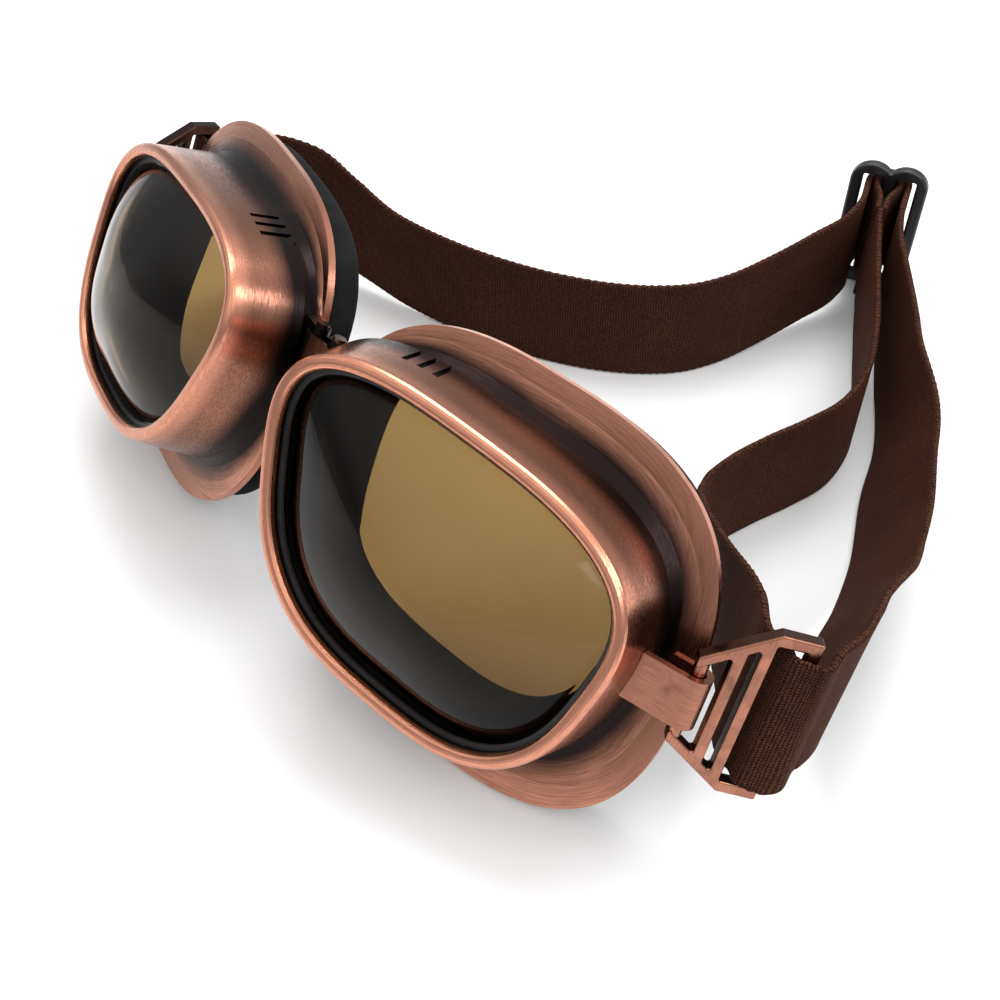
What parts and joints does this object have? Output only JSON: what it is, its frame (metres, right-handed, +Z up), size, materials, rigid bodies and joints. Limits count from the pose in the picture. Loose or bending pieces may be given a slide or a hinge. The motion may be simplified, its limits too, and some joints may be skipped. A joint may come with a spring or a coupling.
{
  "type": "goggles",
  "caption": "Round-cornered riding goggles: copper cups with domed tinted lenses, flared padded flanges, a hinged bridge, folded tabs, buckles and an adjustable webbing strap.",
  "frame": {"origin": "middle of the footprint, on the floor", "axes": "+Z up, the lenses face -Y, +X towards the left lens of the wearer"},
  "size_m": [0.1966, 0.189, 0.0698],
  "materials": {
    "copper": "antique brushed",
    "lens": "tinted, polished",
    "rubber": "matte",
    "foam": "matte",
    "liner": "matte",
    "webbing": "woven elastic",
    "slider": "satin"
  },
  "bodies": {
    "right_cup": {"right_bezel": "copper", "right_flange": "copper", "right_lens": "lens", "right_lens_gasket": "rubber", "right_lens_retainer": "liner", "right_inner_sleeve": "liner", "right_face_pad": "foam", "right_tab": "copper", "right_bridge_pin": "copper", "strap_back": "webbing", "strap_outer": "webbing", "strap_inner": "webbing"},
    "bridge": {"bridge_link": "copper"},
    "left_cup": {"left_bezel": "copper", "left_flange": "copper", "left_lens": "lens", "left_lens_gasket": "rubber", "left_lens_retainer": "liner", "left_inner_sleeve": "liner", "left_face_pad": "foam", "left_tab": "copper", "left_bridge_pin": "copper"},
    "left_buckle": {"left_buckle": "copper"},
    "right_buckle": {"right_buckle": "copper", "strap_buckle_hem": "webbing"},
    "slider": {"strap_slider": "slider", "strap_slider_hem": "webbing"}
  },
  "joints": [
    {"name": "right_bridge_pivot", "type": "hinge", "parent": "right_cup", "child": "bridge", "pos_m": [-0.0081, -0.06576, 0.05388], "axis": [0, 0.5358, 0.8443], "range_deg": [-6, 6], "deforming": ["strap_outer", "strap_inner"]},
    {"name": "left_bridge_pivot", "type": "hinge", "parent": "bridge", "child": "left_cup", "pos_m": [-0.0029, -0.06576, 0.05388], "axis": [0, 0.5358, 0.8443], "range_deg": [-6, 6], "deforming": ["strap_outer", "strap_inner"]},
    {"name": "left_buckle_swing", "type": "hinge", "parent": "left_cup", "child": "left_buckle", "pos_m": [0.08203, -0.05736, 0.03886], "axis": [-0.0762, 0.3896, 0.9178], "range_deg": [-20, 25], "deforming": ["strap_outer", "strap_inner"]},
    {"name": "right_buckle_swing", "type": "hinge", "parent": "right_cup", "child": "right_buckle", "pos_m": [-0.09303, -0.05736, 0.03886], "axis": [0.0762, 0.3896, 0.9178], "range_deg": [-6, 40], "deforming": ["strap_back"]},
    {"name": "slider_slide", "type": "slide", "parent": "right_cup", "child": "slider", "axis": [0.5, -0.866, 0], "range_m": [-0.004, 0.012], "deforming": ["strap_back", "strap_outer", "strap_inner"]}
  ]
}
